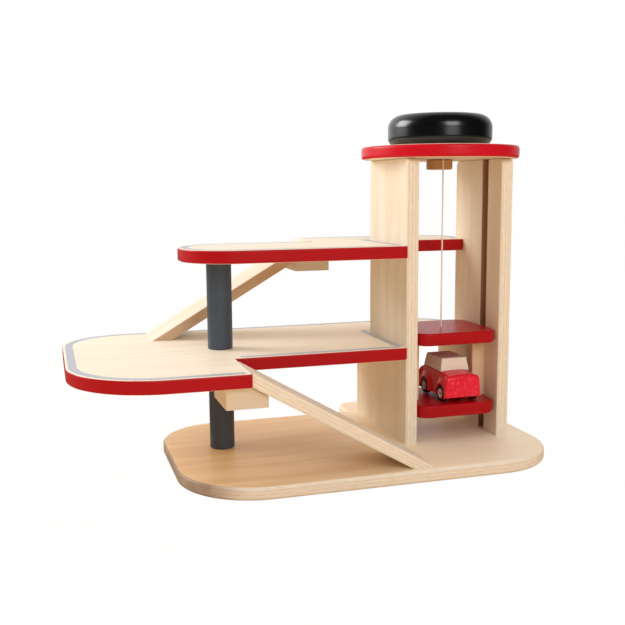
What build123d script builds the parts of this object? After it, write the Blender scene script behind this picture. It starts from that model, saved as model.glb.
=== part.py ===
from build123d import *
import math
import os

# A wooden toy parking garage. A plywood base carries a lift tower of two uprights
# and a round roof, two decks on round pillars, and two ramps. Turning the big black
# wheel on the roof winds a cord that raises the lift, which holds a small toy car.
#
# Lengths are in millimetres. X runs to the right, Y runs away from the front, and Z
# runs up. The origin is on the floor, under the middle of the whole toy.

# ---- The whole toy
garage_length = 441.5       # from the left end of the mid deck to the right end of the base
garage_depth = 255.0        # from the front of the base to the back of its porch

# ---- Boards, floors and pillars
board = 12.0                # plywood of the base, uprights, decks, roof and lift
board_edge = 1.5            # rounding of the boards' edges
base_edge = 3.0             # the base's edges are rounder
pillar_height = 83.0        # both pillars
pillar_diameter = 23.2
pillar_chamfer = 0.8

mid_floor = board + pillar_height + board           # top of the mid deck
upper_floor = mid_floor + pillar_height + board     # top of the upper deck

# ---- Base
base_length = 351.5
base_depth = 216.0
base_front_left_radius = 70.0
base_corner_radius = 60.0
base_front_right_radius = 66.0
porch_overhang = 10.0       # how far the porch behind the tower reaches past its sides
porch_corner_radius = 16.0

# ---- Tower
tower_inset = 78.75         # from the tower's middle to the right end of the base
tower_setback = 75.0        # from the front of the base to the front of the uprights
shaft_width = 84.5          # clear width between the uprights
upright_depth = 96.75       # above the mid deck
upright_foot_depth = 136.6  # below the mid deck, where a shoulder carries the deck
upright_corner = 5.5        # rounding of the upright's top corners
groove_width = 13.0         # upright grooves that guide the lift
groove_depth = 6.0
groove_setback = 33.0       # from the front of the upright to the middle of its groove

# ---- Decks
deck_overhang = 4.2         # how far the decks stand out in front of the uprights
deck_depth = 170.7          # from the decks' front edge to their back edge
lane_width = 69.0           # part of a deck that leads onto a ramp
deck_tongue = 18.2          # how far the decks reach forward between the uprights
tongue_corner = 1.0
mid_deck_front_radius = 76.0
mid_deck_back_radius = 60.0
upper_deck_reach = 203.8    # from the left upright to the left end of the upper deck
upper_deck_radius = 45.0
deck_outer_radius = 30.0    # the decks' back right corner, behind the tower
deck_corner = 3.0           # small rounding of the decks' square corners

# ---- Ramps
ramp_run = 163.0            # level length of a ramp
ramp_width = 53.0
ramp_inset = 3.0            # from a deck's outer edge to the side of its ramp
front_ramp_start = 164.0    # from the left upright to the top of the front ramp
rear_ramp_start = 60.5      # from the left upright to the top of the rear ramp
ramp_block_height = 19.0
ramp_block_length = 36.0
ramp_block_under_deck = 21.0
ramp_block_width = 54.0
front_block_setback = 8.7   # from the mid deck's front edge to its ramp block
rear_block_setback = 1.5    # from the upper deck's back edge to its ramp block
ramp_block_corner = 2.0     # rounding of its upright edges
ramp_block_nose = 4.0       # rounding of its end, under the ramp
ramp_edge = 1.0             # rounding of a ramp's long edges

# ---- Pillars' place
pillar_reach = 166.75       # from the left upright to the pillars' axis
pillar_setback = 55.1       # from the decks' front edge to the pillars' axis

# ---- Lift
lift_room = 58.0            # clear height inside the lift
lift_rest_height = 24.0     # from the base to the lift's underside, as it stands
lift_depth = 80.0
lift_overhang = 2.0         # how far the lift stands out in front of the uprights
lift_side_gap = 0.5
lift_corner_radius = 14.0
lift_edge = 1.8
post_visible_width = 13.5   # part of a guide post that stands inside the shaft
post_gap = 0.5              # clearance of a guide post in its groove

# ---- Roof, knob and its axle
roof_diameter = 152.8
roof_edge = 3.0
knob_diameter = 101.0
knob_height = 29.6
knob_rounding = 13.0        # of its upper edge
knob_foot_rounding = 8.0    # of its lower edge
washer_thickness = 0.6
washer_diameter = 15.0
running_gap = 0.3           # between pieces that turn or slide past each other
bore_gap = 0.08             # radial clearance of an axle in its bore
knob_axle_diameter = 8.0
knob_axle_bite = 20.0       # how far the axle reaches into the knob
drum_diameter = 16.0
recess_radius = 19.0        # hollow under the knob, around the drum
recess_depth = 12.4
hub_diameter = 25.4         # turned hub that keeps the axle under the roof
hub_height = 9.5
lift_stop_gap = 0.2         # left between the raised lift and the hub

# ---- Cord
cord_diameter = 1.6
roof_hole_diameter = 3.0     # the cord's hole in the roof
ceiling_hole_diameter = 2.0  # and in the lift's ceiling
cord_offset_x = -2.8        # from the knob's axis to the cord's hole in the roof
cord_offset_y = -14.5
cord_bend_radius = 3.0
cord_turns = 4              # turns that lie on the drum
cord_cut_gap = 0.1          # between the free stretch and those turns
knot_diameter = 5.2
knot_flat = 0.5             # how much of the knot is pressed flat against the pocket
knot_pocket_diameter = 7.0
knot_pocket_depth = 6.0

# ---- Dowels and screws
dowel_diameter = 6.0
dowel_bite_board = 8.0      # depth of a dowel in the flat of a board
dowel_bite_edge = 12.0      # depth of a dowel in the edge of a board or in a pillar
thin_dowel_diameter = 4.0
thin_dowel_bite = 8.0
roof_dowel_margin = 20.0    # from an upright's front and back to its dowels
screw_diameter = 4.0
screw_length = 32.0
screw_head_diameter = 8.0
screw_head_height = 2.6
screw_slot_width = 1.0
screw_slot_depth = 1.1
screw_margin = 22.0         # from an upright's front and back to its screws

# ---- Car
car_length = 68.0
car_width = 39.0
car_offset_x = 6.5          # from the tower's middle to the car's middle
car_setback = 3.0           # from the lift's front edge to the car's front end
car_ground_clearance = 4.5
car_waist_height = 27.8     # from the wheels' foot to the sides of the body's top
car_height = 40.5           # from the wheels' foot to the top of the cabin
car_nose_height = 27.0      # top of the nose above the wheels' foot
hood_length = 19.0
car_rounding = 4.0
car_foot_rounding = 2.5     # of the body's lower edges at the nose and the tail
car_shoulder = 3.6          # radius of the round shoulders along the body
car_crown = 1.2             # rise of the body's top in its middle
car_end_lean = 2.0          # how far the nose and the tail lean in at the top
side_recess = 2.4           # how far the flanks lie in from the wings
wing_radius = 13.0
arch_radius = 9.2
arch_depth = 7.0
cabin_length = 41.0
cabin_width = 30.5
cabin_taper_x = 2.2         # how far the cabin's sides lean in
cabin_taper_y = 2.6
cabin_rounding = 0.8
wheel_diameter = 16.0
wheel_width = 5.6
wheel_inset = 0.6           # from the car's side to the wheel's outer face
wheel_gap = 0.2             # from the wheels to the lift's floor
tyre_rounding = 1.4
wheel_hub_diameter = 9.6
front_axle_setback = 13.0   # from the car's front end to its front axle
wheelbase = 38.0
car_axle_diameter = 2.4

# ---- Places worked out from the sizes above
base_right = garage_length / 2
base_left = base_right - base_length
deck_left = -garage_length / 2
base_front = -garage_depth / 2
base_back = base_front + base_depth
porch_back = garage_depth / 2

tower_x = base_right - tower_inset
shaft_left = tower_x - shaft_width / 2
shaft_right = tower_x + shaft_width / 2
tower_left = shaft_left - board
tower_right = shaft_right + board
upright_front = base_front + tower_setback
upright_back = upright_front + upright_depth
upright_foot_back = upright_front + upright_foot_depth
upright_middle = upright_front + upright_depth / 2
groove_y = upright_front + groove_setback

mid_underside = mid_floor - board
upper_underside = upper_floor - board
deck_front = upright_front - deck_overhang
deck_back = deck_front + deck_depth
apron_front = deck_front - lane_width
tongue_front = upright_back - deck_tongue
front_ramp_x = tower_left - front_ramp_start
rear_ramp_x = tower_left - rear_ramp_start
upper_left = tower_left - upper_deck_reach
upper_inner_back = deck_back - lane_width
pillar_x = tower_left - pillar_reach
pillar_y = deck_front + pillar_setback

lift_height = lift_room + 2 * board
roof_underside = (upper_floor + lift_room + board + lift_stop_gap + hub_height + running_gap)
roof_top = roof_underside + board
upright_height = roof_underside - board
lift_underside = board + lift_rest_height
lift_floor_top = lift_underside + board
ceiling_underside = lift_floor_top + lift_room
ceiling_top = ceiling_underside + board
lift_front = upright_front - lift_overhang
lift_y = lift_front + lift_depth / 2
post_width = post_visible_width + groove_depth - post_gap
post_thickness = groove_width - 2 * post_gap
post_offset_x = shaft_width / 2 + groove_depth - post_gap - post_width / 2

knob_x = tower_x
knob_y = upright_middle
knob_underside = roof_top + washer_thickness + running_gap
knob_top = knob_underside + knob_height
recess_top = knob_underside + recess_depth
hub_top = roof_underside - running_gap
hub_underside = hub_top - hub_height
drum_radius = drum_diameter / 2
winding_radius = drum_radius + cord_diameter
cord_path_radius = drum_radius + cord_diameter / 2

cord_x = knob_x + cord_offset_x
cord_y = knob_y + cord_offset_y
cord_foot = ceiling_underside + knot_pocket_depth
cord_lead_height = roof_top + cord_bend_radius + cord_diameter / 2
winding_underside = cord_lead_height - cord_diameter

car_x = tower_x + car_offset_x
car_front = lift_front + car_setback
car_floor = lift_floor_top + wheel_gap
wheel_radius = wheel_diameter / 2
axle_z = car_floor + wheel_radius
axle_places = {"front": car_front + front_axle_setback,
               "rear": car_front + front_axle_setback + wheelbase}
wheel_offset_x = car_width / 2 - wheel_inset - wheel_width / 2


# ---- Helpers

def round_corner(sketch, x, y, radius):
    """Round the corner of a flat outline that lies nearest to a point."""
    nearest = sketch.vertices().sort_by(lambda v: (v.X - x) ** 2 + (v.Y - y) ** 2)[0]
    return fillet(nearest, radius)


def outline(points):
    """A flat face through a closed run of corners."""
    return make_face(Polyline(*points, close=True))


def upright_rod(x, y, bottom, top, diameter):
    """A round rod, or the bore for one, standing between two heights."""
    return Pos(x, y, bottom) * Cylinder(diameter / 2, top - bottom,
                                        align=(Align.CENTER, Align.CENTER, Align.MIN))


def cross_rod(axis_rotation, x, y, z, length, diameter):
    """A round rod that lies level, with its middle at a point."""
    return Pos(x, y, z) * axis_rotation * Cylinder(diameter / 2, length)


along_x = Rot(0, 90, 0)
along_y = Rot(90, 0, 0)


def soften_faces(solid, radius):
    """Round the edges round the top and bottom faces of a board."""
    faces = solid.faces().sort_by(Axis.Z)
    return fillet(faces[0].edges() + faces[-1].edges(), radius)


def flat_board(sketch, underside, edge=board_edge):
    """A plywood board with softened edges, cut to an outline."""
    return soften_faces(Pos(0, 0, underside) * extrude(sketch, board), edge)


def wood_screw(x, y):
    """A slotted countersunk screw, driven up from the underside of the base."""
    head = Pos(x, y, 0) * Cone(screw_head_diameter / 2, screw_diameter / 2, screw_head_height,
                               align=(Align.CENTER, Align.CENTER, Align.MIN))
    point = screw_diameter
    shank = upright_rod(x, y, screw_head_height, screw_length - point, screw_diameter)
    tip = Pos(x, y, screw_length - point) * Cone(screw_diameter / 2, 0.3, point,
                                                 align=(Align.CENTER, Align.CENTER, Align.MIN))
    slot = Pos(x, y, 0) * Box(screw_head_diameter, screw_slot_width, 2 * screw_slot_depth)
    return head + shank + tip - slot


def screw_bore(x, y):
    """The hole that a wood screw fills."""
    head = Pos(x, y, 0) * Cone(screw_head_diameter / 2, screw_diameter / 2, screw_head_height,
                               align=(Align.CENTER, Align.CENTER, Align.MIN))
    shank = upright_rod(x, y, screw_head_height, screw_length, screw_diameter)
    return head + shank


# ---- Where the fixings are

upright_middles = [shaft_left - board / 2, shaft_right + board / 2]
screw_places = [(x, y) for x in upright_middles
                for y in (upright_front + screw_margin, upright_foot_back - screw_margin)]
screw_places.append((pillar_x, pillar_y))
roof_dowel_places = [(x, y) for x in upright_middles
                     for y in (upright_front + roof_dowel_margin,
                               upright_back - roof_dowel_margin)]
shoulder_y = (upright_back + upright_foot_back) / 2
deck_dowel_places = [(x, shoulder_y) for x in upright_middles]
post_dowel_places = [(tower_x + side * (post_offset_x - groove_depth / 2), groove_y)
                     for side in (-1, 1)]


def roof_dowels():
    """Four dowels that join the uprights to the roof."""
    return [upright_rod(x, y, roof_underside - dowel_bite_edge, roof_underside + dowel_bite_board,
                        dowel_diameter) for x, y in roof_dowel_places]


def mid_deck_dowels():
    """Two dowels that join the mid deck to the shoulders of the uprights."""
    return [upright_rod(x, y, mid_underside - dowel_bite_edge, mid_underside + dowel_bite_board,
                        dowel_diameter) for x, y in deck_dowel_places]


def upper_deck_dowels():
    """Two level dowels that join the upper deck to the backs of the uprights."""
    return [cross_rod(along_y, x, upright_back, upper_underside + board / 2,
                      2 * dowel_bite_edge, thin_dowel_diameter) for x in upright_middles]


def pillar_dowels():
    """Dowels on the pillars' axis: one through the mid deck, one up into the upper deck."""
    through = upright_rod(pillar_x, pillar_y, mid_underside - dowel_bite_edge,
                          mid_floor + dowel_bite_edge, dowel_diameter)
    upper = upright_rod(pillar_x, pillar_y, upper_underside - dowel_bite_edge,
                        upper_underside + dowel_bite_board, dowel_diameter)
    return [through, upper]


def lift_dowels():
    """Four thin dowels that join the lift's guide posts to its two boards."""
    joints = (lift_floor_top, ceiling_underside)
    return [upright_rod(x, y, z - thin_dowel_bite, z + thin_dowel_bite, thin_dowel_diameter)
            for x, y in post_dowel_places for z in joints]


# ---- Base and tower

def base_board():
    """The base: a long rounded board with a porch behind the tower."""
    middle = (base_left + base_right) / 2, (base_front + base_back) / 2
    sketch = Pos(*middle) * Rectangle(base_length, base_depth)
    sketch = round_corner(sketch, base_left, base_front, base_front_left_radius)
    sketch = round_corner(sketch, base_left, base_back, base_corner_radius)
    sketch = round_corner(sketch, base_right, base_front, base_front_right_radius)
    sketch = round_corner(sketch, base_right, base_back, base_corner_radius)
    porch_width = tower_right - tower_left + 2 * porch_overhang
    porch_front = base_back - base_corner_radius
    porch = Pos(tower_x, (porch_front + porch_back) / 2) * Rectangle(porch_width,
                                                                     porch_back - porch_front)
    for side in (-1, 1):
        corner_x = tower_x + side * porch_width / 2
        porch = round_corner(porch, corner_x, porch_back, porch_corner_radius)
    base = flat_board(sketch + porch, 0, base_edge)
    for place in screw_places:
        base -= screw_bore(*place)
    return base


def upright(side):
    """One side of the tower, side -1 on the left and 1 on the right, groove inward."""
    profile = [(upright_front, board), (upright_foot_back, board),
               (upright_foot_back, mid_underside), (upright_back, mid_underside),
               (upright_back, roof_underside), (upright_front, roof_underside)]
    sketch = outline(profile)
    for y in (upright_front, upright_back):
        sketch = round_corner(sketch, y, roof_underside, upright_corner)
    inner = shaft_left if side < 0 else shaft_right
    outer_start = inner - board if side < 0 else inner
    plate = Pos(outer_start, 0, 0) * extrude(Plane.YZ * sketch, board)
    ends = [edge for edge in plate.edges().filter_by(Axis.Z)
            if edge.center().Y < upright_front + 0.1 or edge.center().Y > upright_back - 0.1]
    plate = fillet(ends, board_edge)
    groove_cutter = Box(2 * groove_depth, groove_width, upright_height + 2 * board)
    plate -= Pos(inner, groove_y, (board + roof_underside) / 2) * groove_cutter
    for bore in roof_dowels() + mid_deck_dowels() + upper_deck_dowels():
        plate -= bore
    for place in screw_places:
        plate -= screw_bore(*place)
    return plate


# ---- Decks

def tower_edge():
    """The run of a deck's outline round the uprights, from its front to its back right."""
    return [(tower_left, deck_front), (tower_left, upright_back), (shaft_left, upright_back),
            (shaft_left, tongue_front), (shaft_right, tongue_front), (shaft_right, upright_back),
            (tower_right, upright_back), (tower_right, deck_back)]


def round_tower_edge(sketch):
    """Round the corners that both decks have at the tower."""
    sketch = round_corner(sketch, tower_left, deck_front, deck_corner)
    for x in (shaft_left, shaft_right):
        sketch = round_corner(sketch, x, tongue_front, tongue_corner)
    return round_corner(sketch, tower_right, deck_back, deck_outer_radius)


def mid_deck_outline():
    """The mid deck's outline: a wide apron on the left, and the lane to the tower."""
    sketch = outline([(deck_left, apron_front), (front_ramp_x, apron_front),
                      (front_ramp_x, deck_front)] + tower_edge() + [(deck_left, deck_back)])
    sketch = round_corner(sketch, deck_left, apron_front, mid_deck_front_radius)
    sketch = round_corner(sketch, deck_left, deck_back, mid_deck_back_radius)
    sketch = round_corner(sketch, front_ramp_x, apron_front, deck_corner)
    return round_tower_edge(sketch)


def upper_deck_outline():
    """The upper deck's outline, with the rear lane cut short where its ramp begins."""
    sketch = outline([(upper_left, deck_front)] + tower_edge()
                     + [(rear_ramp_x, deck_back), (rear_ramp_x, upper_inner_back),
                        (upper_left, upper_inner_back)])
    sketch = round_corner(sketch, upper_left, deck_front, upper_deck_radius)
    sketch = round_corner(sketch, upper_left, upper_inner_back, upper_deck_radius)
    sketch = round_corner(sketch, rear_ramp_x, deck_back, deck_corner)
    return round_tower_edge(sketch)


def mid_deck():
    deck = flat_board(mid_deck_outline(), mid_underside)
    for bore in mid_deck_dowels() + pillar_dowels():
        deck -= bore
    return deck


def upper_deck():
    deck = flat_board(upper_deck_outline(), upper_underside)
    for bore in upper_deck_dowels() + pillar_dowels():
        deck -= bore
    return deck


def pillar(bottom):
    """A round pillar with chamfered ends, bored for the fixings on its axis."""
    post = upright_rod(pillar_x, pillar_y, bottom, bottom + pillar_height, pillar_diameter)
    post = chamfer(post.edges().filter_by(GeomType.CIRCLE), pillar_chamfer)
    for bore in pillar_dowels():
        post -= bore
    return post - screw_bore(pillar_x, pillar_y)


# ---- Ramps

ramp_rise = pillar_height + board
ramp_slope = ramp_rise / ramp_run


def ramp_profile(top_x, top_z, direction):
    """The side of a ramp, flush with its deck at the top and cut level at its foot."""
    foot_x = top_x + direction * ramp_run
    foot_z = top_z - ramp_rise
    foot_cut = board / ramp_slope
    return [(top_x, top_z), (foot_x, foot_z), (foot_x - direction * foot_cut, foot_z),
            (top_x, top_z - board)]


def swept_across(profile, y_near, width):
    """A solid with one side profile (X, Z) all across its width."""
    sketch = outline(profile)
    return Pos(0, y_near + width, 0) * extrude(Plane.XZ * sketch, width)


front_ramp_y = apron_front + ramp_inset
rear_ramp_y = deck_back - ramp_inset - ramp_width
front_block_y = apron_front + front_block_setback
rear_block_y = deck_back - rear_block_setback - ramp_block_width


def ramp(top_x, top_z, direction, y_near):
    """A ramp with softened long edges, running down from the end of a deck."""
    slope = swept_across(ramp_profile(top_x, top_z, direction), y_near, ramp_width)
    long_edges = [edge for edge in slope.edges() if edge.length > ramp_run / 2]
    return fillet(long_edges, ramp_edge)


def front_ramp():
    """The ramp from the mid deck down to the base, towards the right."""
    return ramp(front_ramp_x, mid_floor, 1, front_ramp_y)


def rear_ramp():
    """The ramp from the upper deck down to the mid deck, towards the left."""
    return ramp(rear_ramp_x, upper_floor, -1, rear_ramp_y)


def ramp_block(top_x, deck_underside, direction, y_near):
    """The block under a deck's end, cut to the slope of the ramp that rests on it."""
    bottom = deck_underside - ramp_block_height
    start_x = top_x - direction * ramp_block_under_deck
    under_ramp = ramp_block_length - ramp_block_under_deck
    end_x = top_x + direction * under_ramp
    profile = [(start_x, bottom), (end_x, bottom),
               (end_x, deck_underside - ramp_slope * under_ramp),
               (top_x, deck_underside), (start_x, deck_underside)]
    block = swept_across(profile, y_near, ramp_block_width)
    nose = block.edges().filter_by(Axis.Y).sort_by(
        lambda edge: abs(edge.center().X - end_x) + abs(edge.center().Z - profile[2][1]))[0]
    block = fillet(nose, ramp_block_nose)
    return fillet(block.edges().filter_by(Axis.Z), ramp_block_corner)


# ---- Roof and knob

def roof_disc():
    """The round roof, bored for the knob's axle and for the cord."""
    disc = flat_board(Pos(knob_x, knob_y) * Circle(roof_diameter / 2), roof_underside, roof_edge)
    disc -= upright_rod(knob_x, knob_y, roof_underside, roof_top,
                        knob_axle_diameter + 2 * bore_gap)
    disc -= upright_rod(cord_x, cord_y, roof_underside, roof_top, roof_hole_diameter)
    for bore in roof_dowels():
        disc -= bore
    return disc


def knob_washer():
    """The washer that the knob turns on."""
    ring = upright_rod(knob_x, knob_y, roof_top, roof_top + washer_thickness, washer_diameter)
    return ring - upright_rod(knob_x, knob_y, roof_top, roof_top + washer_thickness,
                              knob_axle_diameter + 2 * bore_gap)


def wheel_knob():
    """The big wheel on the roof, hollow underneath around the drum for the cord."""
    wheel = upright_rod(knob_x, knob_y, knob_underside, knob_top, knob_diameter)
    for end, radius in ((-1, knob_rounding), (0, knob_foot_rounding)):
        rim = wheel.edges().filter_by(GeomType.CIRCLE).sort_by(Axis.Z)[end]
        wheel = fillet(rim, radius)
    recess = upright_rod(knob_x, knob_y, knob_underside, recess_top, 2 * recess_radius)
    drum = upright_rod(knob_x, knob_y, knob_underside, recess_top, drum_diameter)
    wheel = wheel - (recess - drum)
    return wheel - upright_rod(knob_x, knob_y, knob_underside,
                               knob_underside + knob_axle_bite, knob_axle_diameter)


def knob_axle():
    """The dowel that is glued into the knob above and the hub below."""
    return upright_rod(knob_x, knob_y, hub_underside, knob_underside + knob_axle_bite,
                       knob_axle_diameter)


def axle_hub():
    """The turned hub under the roof that holds the axle in, and stops the lift."""
    hub = upright_rod(knob_x, knob_y, hub_underside, hub_top, hub_diameter)
    hub = fillet(hub.edges().filter_by(GeomType.CIRCLE), board_edge)
    return hub - upright_rod(knob_x, knob_y, hub_underside, hub_top, knob_axle_diameter)


# ---- Cord

def cord_lead_direction():
    """The level direction from the roof's hole to where the cord meets the drum."""
    distance = math.hypot(cord_offset_x, cord_offset_y)
    towards_axis = math.atan2(-cord_offset_y, -cord_offset_x)
    return towards_axis - math.asin(cord_path_radius / distance)


def lift_cord_path():
    """From the knot in the lift's ceiling, up through the roof, and level to the drum."""
    heading = cord_lead_direction()
    run = math.sqrt(cord_offset_x ** 2 + cord_offset_y ** 2 - cord_path_radius ** 2)
    foot = Vector(cord_x, cord_y, cord_foot)
    corner = Vector(cord_x, cord_y, cord_lead_height)
    end = corner + Vector(run * math.cos(heading), run * math.sin(heading), 0)
    return FilletPolyline(foot, corner, end, radius=cord_bend_radius)


def cord_tube():
    """The cord as one round tube along its whole route."""
    section = Plane((cord_x, cord_y, cord_foot)) * Circle(cord_diameter / 2)
    return sweep(section, lift_cord_path())


def lift_cord():
    """The cord's free stretch, cut clear of the turns that lie on the drum."""
    turns = upright_rod(knob_x, knob_y, winding_underside - board, recess_top,
                        2 * (winding_radius + cord_cut_gap))
    return cord_tube() - turns


def cord_winding():
    """The turns of cord on the drum, as one closed sleeve."""
    top = winding_underside + cord_turns * cord_diameter
    sleeve = upright_rod(knob_x, knob_y, winding_underside, top, 2 * winding_radius)
    return sleeve - upright_rod(knob_x, knob_y, winding_underside, top, drum_diameter)


def cord_knot():
    """The knot that holds the cord in its pocket under the lift's ceiling."""
    centre_z = cord_foot - knot_diameter / 2 + knot_flat
    knot = Pos(cord_x, cord_y, centre_z) * Sphere(knot_diameter / 2)
    above = upright_rod(cord_x, cord_y, cord_foot, cord_foot + knot_diameter, knot_diameter)
    return knot - above


# ---- Lift

def lift_outline():
    """The outline of the lift's two boards."""
    width = shaft_width - 2 * lift_side_gap
    return Pos(tower_x, lift_y) * RectangleRounded(width, lift_depth, lift_corner_radius)


def lift_ceiling():
    """The lift's upper board, bored for the cord, with a pocket for its knot."""
    plate = flat_board(lift_outline(), ceiling_underside, lift_edge)
    plate -= upright_rod(cord_x, cord_y, ceiling_underside, cord_foot, knot_pocket_diameter)
    plate -= upright_rod(cord_x, cord_y, ceiling_underside, ceiling_top, ceiling_hole_diameter)
    for bore in lift_dowels():
        plate -= bore
    return plate


def lift_floor():
    """The lift's lower board, on which the car stands."""
    plate = flat_board(lift_outline(), lift_underside, lift_edge)
    for bore in lift_dowels():
        plate -= bore
    return plate


def guide_post(side):
    """A post of the lift, whose outer edge runs in the groove of an upright."""
    middle = Pos(tower_x + side * post_offset_x, groove_y, lift_floor_top + lift_room / 2)
    post = middle * Box(post_width, post_thickness, lift_room)
    post = chamfer(post.edges().filter_by(Axis.Z), board_edge / 2)
    for bore in lift_dowels():
        post -= bore
    return post


# ---- Car

def car_axle_line(end, length, diameter):
    """A rod or bore on the line of the front or rear axle."""
    return cross_rod(along_x, car_x, axle_places[end], axle_z, length, diameter)


def car_end_section():
    """The body seen from its front: upright flanks, round shoulders and a crowned top."""
    half = car_width / 2
    low = car_floor + car_ground_clearance
    waist = car_floor + car_waist_height
    shoulder = waist - car_shoulder
    in_x = half - car_shoulder
    bulge = car_shoulder * math.sqrt(0.5)
    flanks = [Line((side * half, low), (side * half, shoulder)) for side in (-1, 1)]
    shoulders = [ThreePointArc((side * half, shoulder), (side * (in_x + bulge), shoulder + bulge),
                               (side * in_x, waist)) for side in (-1, 1)]
    crown = ThreePointArc((-in_x, waist), (0, waist + car_crown), (in_x, waist))
    sill = Line((-half, low), (half, low))
    section = make_face(Wire(flanks + shoulders + [crown, sill]))
    return Pos(car_x, car_front + car_length, 0) * extrude(Plane.XZ * section, car_length)


def car_side_profile():
    """The body seen from its side: a nose, a hood that rises to the waist, and a tail."""
    low = car_floor + car_ground_clearance
    top = car_floor + car_waist_height + car_crown
    nose = car_floor + car_nose_height
    back = car_front + car_length
    sketch = outline([(car_front, low), (back, low), (back - car_end_lean, top),
                      (car_front + hood_length, top), (car_front + car_end_lean, nose)])
    sketch = round_corner(sketch, back - car_end_lean, top, car_rounding)
    sketch = round_corner(sketch, car_front + car_end_lean, nose, car_rounding)
    for end_y in (car_front, back):
        sketch = round_corner(sketch, end_y, low, car_foot_rounding)
    return Pos(car_x - car_width / 2, 0, 0) * extrude(Plane.YZ * sketch, car_width)


def car_body():
    """The car's painted body, with wings that stand out round its wheel arches."""
    body = car_end_section() & car_side_profile()
    for hand in (-1, 1):
        flank_x = car_x + hand * car_width / 2
        flank = Pos(flank_x, car_front + car_length / 2, car_floor) * Box(
            2 * side_recess, car_length - 2 * car_end_lean, 2 * car_height)
        for end in axle_places:
            flank -= cross_rod(along_x, flank_x, axle_places[end], axle_z, 4 * side_recess,
                               2 * wing_radius)
        body -= flank
        for end in axle_places:
            body -= cross_rod(along_x, flank_x, axle_places[end], axle_z, 2 * arch_depth,
                              2 * arch_radius)
    for end in axle_places:
        body -= car_axle_line(end, car_width, car_axle_diameter + 2 * bore_gap)
    return body.solid()


def car_cabin():
    """The car's bare wooden cabin, drawn in towards its roof and fitted to the body's crown."""
    waist = car_floor + car_waist_height
    roof = car_floor + car_height
    middle_y = car_front + hood_length + cabin_length / 2
    lower = Pos(car_x, middle_y, waist) * Rectangle(cabin_width, cabin_length)
    upper = Pos(car_x, middle_y, roof) * Rectangle(cabin_width - 2 * cabin_taper_x,
                                                   cabin_length - 2 * cabin_taper_y)
    cabin = loft([lower, upper])
    cabin = fillet(cabin.edges().filter_by(lambda e: e.center().Z > waist + 0.1), cabin_rounding)
    return (cabin - car_end_section()).solid()


def car_wheel(end, hand):
    """A wheel of the car as its tyre and its hub."""
    place = Pos(car_x + hand * wheel_offset_x, axle_places[end], axle_z) * along_x
    tyre = Cylinder(wheel_radius, wheel_width)
    tyre = fillet(tyre.edges().filter_by(GeomType.CIRCLE), tyre_rounding)
    core = Cylinder(wheel_hub_diameter / 2, wheel_width)
    hub = core - Cylinder(car_axle_diameter / 2, wheel_width)
    return place * (tyre - core), place * hub


# ---- Everything, by name

def all_parts():
    """Each separate piece of the garage, under the name of its file."""
    parts = {
        "base_board": base_board(),
        "left_upright": upright(-1),
        "right_upright": upright(1),
        "mid_deck": mid_deck(),
        "upper_deck": upper_deck(),
        "lower_pillar": pillar(board),
        "upper_pillar": pillar(mid_floor),
        "front_ramp": front_ramp(),
        "rear_ramp": rear_ramp(),
        "front_ramp_block": ramp_block(front_ramp_x, mid_underside, 1, front_block_y),
        "rear_ramp_block": ramp_block(rear_ramp_x, upper_underside, -1, rear_block_y),
        "roof_disc": roof_disc(),
        "knob_washer": knob_washer(),
        "wheel_knob": wheel_knob(),
        "knob_axle": knob_axle(),
        "axle_hub": axle_hub(),
        "lift_cord": lift_cord(),
        "cord_winding": cord_winding(),
        "cord_knot": cord_knot(),
        "lift_ceiling": lift_ceiling(),
        "lift_floor": lift_floor(),
        "left_guide_post": guide_post(-1),
        "right_guide_post": guide_post(1),
        "lift_dowels": Compound(lift_dowels()),
        "roof_dowels": Compound(roof_dowels()),
        "mid_deck_dowels": Compound(mid_deck_dowels()),
        "upper_deck_dowels": Compound(upper_deck_dowels()),
        "pillar_dowels": Compound(pillar_dowels()),
        "base_screws": Compound([wood_screw(*place) for place in screw_places]),
        "car_body": car_body(),
        "car_cabin": car_cabin(),
    }
    for end in axle_places:
        length = 2 * (wheel_offset_x + wheel_width / 2)
        parts[f"{end}_axle"] = car_axle_line(end, length, car_axle_diameter)
        for hand, name in ((-1, "left"), (1, "right")):
            tyre, hub = car_wheel(end, hand)
            parts[f"{end}_{name}_tyre"] = tyre
            parts[f"{end}_{name}_hub"] = hub
    return parts


tube = cord_tube()
tube_length = lift_cord_path().length
print(f"cord: {tube_length:.1f} mm long, one bend of radius {cord_bend_radius} mm, volume "
      f"{tube.volume:.1f} mm3, section times length "
      f"{math.pi * cord_diameter ** 2 / 4 * tube_length:.1f} mm3")

os.makedirs("parts", exist_ok=True)
for name, solid in all_parts().items():
    export_step(solid, f"parts/{name}.step")
    print(f"{name}: {solid.volume / 1000:.2f} cm3")
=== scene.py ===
# %% [markdown]
# # A wooden parking garage with a lift
# The toy is a stack of birch plywood boards: a base, two decks, a tower with a round roof,
# and a lift that hangs on a cord from a big black wheel. The boards come in as a finished
# model at their real size. This notebook gives them their wood and paint, and adds what is
# too fine or too soft for them: the printed road lines, the twisted cord and the carved car.

# %% Load the boards
import math

import bmesh
import bpy
from mathutils import Matrix, Vector


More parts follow.
